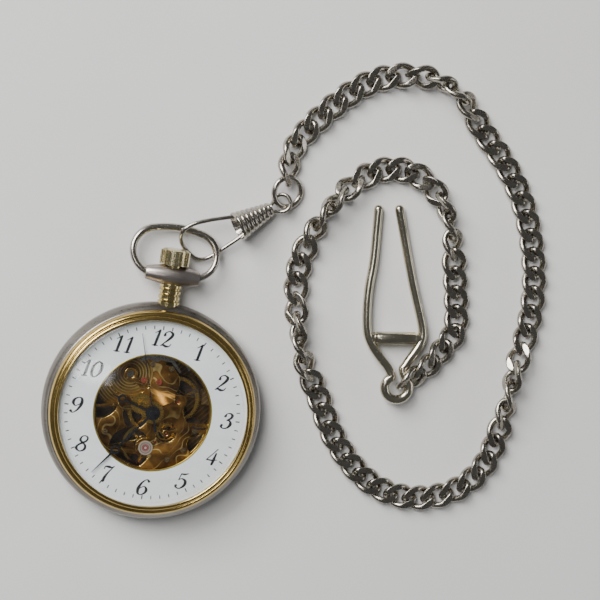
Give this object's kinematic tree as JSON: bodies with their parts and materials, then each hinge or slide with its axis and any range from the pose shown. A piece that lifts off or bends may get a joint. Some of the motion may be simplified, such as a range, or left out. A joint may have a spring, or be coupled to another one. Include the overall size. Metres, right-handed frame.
{
  "type": "pocket watch with chain",
  "caption": "Open-face hand-wound pocket watch with a skeleton window, crown, bow, snap hook, curb chain and wire pocket clip; it keeps time and hangs from a waistcoat.",
  "frame": {"origin": "centre of the flat back of the watch, on the axis of its hands", "axes": "+Z out of the dial, +Y from the centre toward twelve o'clock and the crown, +X toward three o'clock"},
  "size_m": [0.1049, 0.1037, 0.0119],
  "materials": {
    "case_steel": "polished",
    "gold_plate": "polished",
    "crystal": "clear",
    "dial_enamel": "satin",
    "hand_black": "gloss",
    "movement_gilt": "satin",
    "wheel_brass": "polished",
    "movement_steel": "satin",
    "spring_steel": "satin",
    "ruby": "polished",
    "gasket_rubber": "matte",
    "hook_steel": "polished",
    "chain_metal": "polished",
    "clip_metal": "polished"
  },
  "bodies": {
    "watch_case": {"case_band": "case_steel", "case_back": "case_steel", "back_crystal": "crystal", "front_bezel": "gold_plate", "front_crystal": "crystal", "pendant": "gold_plate", "bow_yoke": "case_steel", "dial": "dial_enamel", "dial_rim": "gold_plate", "movement_ring": "movement_steel", "main_plate": "movement_gilt", "barrel_bridge": "movement_gilt", "train_bridge": "movement_gilt", "balance_cock": "movement_gilt", "pallet_bridge": "movement_gilt", "movement_screws": "movement_steel", "jewels": "ruby", "shock_settings": "movement_steel", "regulator": "movement_steel", "hairspring": "spring_steel", "click_spring": "movement_steel", "keyless_levers": "movement_steel"},
    "bow": {"bow": "case_steel"},
    "hook": {"hook_wire": "hook_steel", "hook_sleeve": "hook_steel"},
    "ring": {"jump_ring": "hook_steel"},
    "run_1": {"chain_segment_01": "chain_metal"},
    "run_2": {"chain_segment_02": "chain_metal"},
    "run_3": {"chain_segment_03": "chain_metal"},
    "run_4": {"chain_segment_04": "chain_metal"},
    "run_5": {"chain_segment_05": "chain_metal"},
    "run_6": {"chain_segment_06": "chain_metal"},
    "run_7": {"chain_segment_07": "chain_metal"},
    "run_8": {"chain_segment_08": "chain_metal"},
    "clip": {"clip_wire": "clip_metal", "clip_bar": "clip_metal"},
    "crown_pull": {"crown_gasket": "gasket_rubber"},
    "crown_turn": {"crown": "gold_plate", "winding_stem": "movement_steel", "sliding_pinion": "movement_steel"},
    "winding_pinion_turn": {"winding_pinion": "movement_steel"},
    "crown_wheel_turn": {"crown_wheel": "movement_steel"},
    "ratchet": {"ratchet_wheel": "movement_steel", "barrel_arbor": "movement_steel"},
    "click_arm": {"click": "movement_steel"},
    "seconds": {"fourth_wheel": "wheel_brass", "seconds_hand": "hand_black"},
    "minutes": {"centre_wheel": "wheel_brass", "cannon_pinion": "movement_steel", "minute_hand": "hand_black"},
    "hours": {"hour_wheel": "wheel_brass", "hour_hand": "hand_black"},
    "third": {"third_wheel": "wheel_brass"},
    "barrel_turn": {"barrel": "wheel_brass", "mainspring": "spring_steel"},
    "escape": {"escape_wheel": "movement_steel"},
    "motion_work": {"minute_wheel": "wheel_brass"},
    "balance": {"balance_wheel": "wheel_brass", "balance_staff": "movement_steel"},
    "lever": {"pallet_fork": "movement_steel"}
  },
  "joints": [
    {"name": "bow_swing", "type": "hinge", "parent": "watch_case", "child": "bow", "pos_m": [0, 0.0288, 0.0044], "axis": [1, 0, 0], "range_deg": [-2, 100]},
    {"name": "hook_swing", "type": "hinge", "parent": "bow", "child": "hook", "pos_m": [0.004, 0.038, 0.003], "axis": [0, 0, 1], "range_deg": [-3, 6]},
    {"name": "ring_swing", "type": "hinge", "parent": "hook", "child": "ring", "pos_m": [0.0211, 0.0477, 0.0019], "axis": [0, 0, 1], "range_deg": [-2, 5]},
    {"name": "chain_swing_1", "type": "hinge", "parent": "ring", "child": "run_1", "pos_m": [0.02141, 0.05227, 0.00245], "axis": [0, 0, 1], "range_deg": [-1.5, 4]},
    {"name": "chain_swing_2", "type": "hinge", "parent": "run_1", "child": "run_2", "pos_m": [0.03633, 0.07573, 0.00125], "axis": [0, 0, 1], "range_deg": [-1.5, 4]},
    {"name": "chain_swing_3", "type": "hinge", "parent": "run_2", "child": "run_3", "pos_m": [0.06782, 0.06284, 0.00125], "axis": [0, 0, 1], "range_deg": [-1.5, 4]},
    {"name": "chain_swing_4", "type": "hinge", "parent": "run_3", "child": "run_4", "pos_m": [0.07944, 0.03195, 0.00125], "axis": [0, 0, 1], "range_deg": [-1.5, 4]},
    {"name": "chain_swing_5", "type": "hinge", "parent": "run_4", "child": "run_5", "pos_m": [0.07549, -0.00143, 0.00125], "axis": [0, 0, 1], "range_deg": [-1.5, 4]},
    {"name": "chain_swing_6", "type": "hinge", "parent": "run_5", "child": "run_6", "pos_m": [0.04137, -0.00262, 0.00125], "axis": [0, 0, 1], "range_deg": [-1.5, 4]},
    {"name": "chain_swing_7", "type": "hinge", "parent": "run_6", "child": "run_7", "pos_m": [0.0269, 0.03584, 0.00125], "axis": [0, 0, 1], "range_deg": [-1.5, 4]},
    {"name": "chain_swing_8", "type": "hinge", "parent": "run_7", "child": "run_8", "pos_m": [0.06087, 0.03785, 0.00125], "axis": [0, 0, 1], "range_deg": [-1.5, 4]},
    {"name": "clip_swing", "type": "hinge", "parent": "run_8", "child": "clip", "pos_m": [0.05307, 0.01252, 0.00281], "axis": [0, 0, 1], "range_deg": [-4, 4]},
    {"name": "crown_slide", "type": "slide", "parent": "watch_case", "child": "crown_pull", "axis": [0, 1, 0], "range_m": [0, 0.0006]},
    {"name": "crown_spin", "type": "hinge", "parent": "crown_pull", "child": "crown_turn", "pos_m": [0, 0.031, 0.0044], "axis": [0, 1, 0], "continuous": true},
    {"name": "winding_pinion_spin", "type": "hinge", "parent": "watch_case", "child": "winding_pinion_turn", "pos_m": [0, 0.016, 0.0044], "axis": [0, 1, 0], "continuous": true},
    {"name": "crown_wheel_spin", "type": "hinge", "parent": "watch_case", "child": "crown_wheel_turn", "pos_m": [0, 0.013, 0.002], "axis": [0, 0, 1], "continuous": true},
    {"name": "ratchet_spin", "type": "hinge", "parent": "watch_case", "child": "ratchet", "pos_m": [-0.0056, 0.0073, 0.002], "axis": [0, 0, 1], "continuous": true},
    {"name": "click_swing", "type": "hinge", "parent": "watch_case", "child": "click_arm", "pos_m": [-0.0122, 0.0094, 0.002], "axis": [0, 0, 1], "range_deg": [-3, 6]},
    {"name": "seconds_spin", "type": "hinge", "parent": "watch_case", "child": "seconds", "pos_m": [0, 0, 0.003], "axis": [0, 0, -1], "continuous": true},
    {"name": "minutes_spin", "type": "hinge", "parent": "watch_case", "child": "minutes", "pos_m": [0, 0, 0.004], "axis": [0, 0, -1], "continuous": true},
    {"name": "hours_spin", "type": "hinge", "parent": "watch_case", "child": "hours", "pos_m": [0, 0, 0.007], "axis": [0, 0, -1], "continuous": true},
    {"name": "third_spin", "type": "hinge", "parent": "watch_case", "child": "third", "pos_m": [0.00485, 0.0028, 0.003], "axis": [0, 0, -1], "continuous": true},
    {"name": "barrel_spin", "type": "hinge", "parent": "watch_case", "child": "barrel_turn", "pos_m": [-0.0056, 0.0073, 0.0045], "axis": [0, 0, -1], "continuous": true},
    {"name": "escape_spin", "type": "hinge", "parent": "watch_case", "child": "escape", "pos_m": [0.00354, -0.00421, 0.004], "axis": [0, 0, -1], "continuous": true},
    {"name": "motion_work_spin", "type": "hinge", "parent": "watch_case", "child": "motion_work", "pos_m": [-0.00255, 0.00158, 0.0066], "axis": [0, 0, -1], "continuous": true},
    {"name": "balance_swing", "type": "hinge", "parent": "watch_case", "child": "balance", "pos_m": [-0.0003, -0.0077, 0.0032], "axis": [0, 0, 1], "range_deg": [-150, 150], "stiffness_Nm_per_rad": 0.0000002},
    {"name": "lever_rock", "type": "hinge", "parent": "watch_case", "child": "lever", "pos_m": [0.0015, -0.0063, 0.0044], "axis": [0, 0, 1], "range_deg": [-6, 6]}
  ],
  "couplings": [
    {"joint": "winding_pinion_spin", "follows": "crown_spin", "ratio": 1},
    {"joint": "crown_wheel_spin", "follows": "crown_spin", "ratio": 0.75},
    {"joint": "ratchet_spin", "follows": "crown_spin", "ratio": -0.45},
    {"joint": "minutes_spin", "follows": "seconds_spin", "ratio": 0.016667},
    {"joint": "hours_spin", "follows": "seconds_spin", "ratio": 0.0013889},
    {"joint": "third_spin", "follows": "seconds_spin", "ratio": -0.13333},
    {"joint": "barrel_spin", "follows": "seconds_spin", "ratio": -0.0025},
    {"joint": "escape_spin", "follows": "seconds_spin", "ratio": -10},
    {"joint": "motion_work_spin", "follows": "seconds_spin", "ratio": -0.0055556},
    {"joint": "lever_rock", "follows": "balance_swing", "ratio": 0.03}
  ]
}
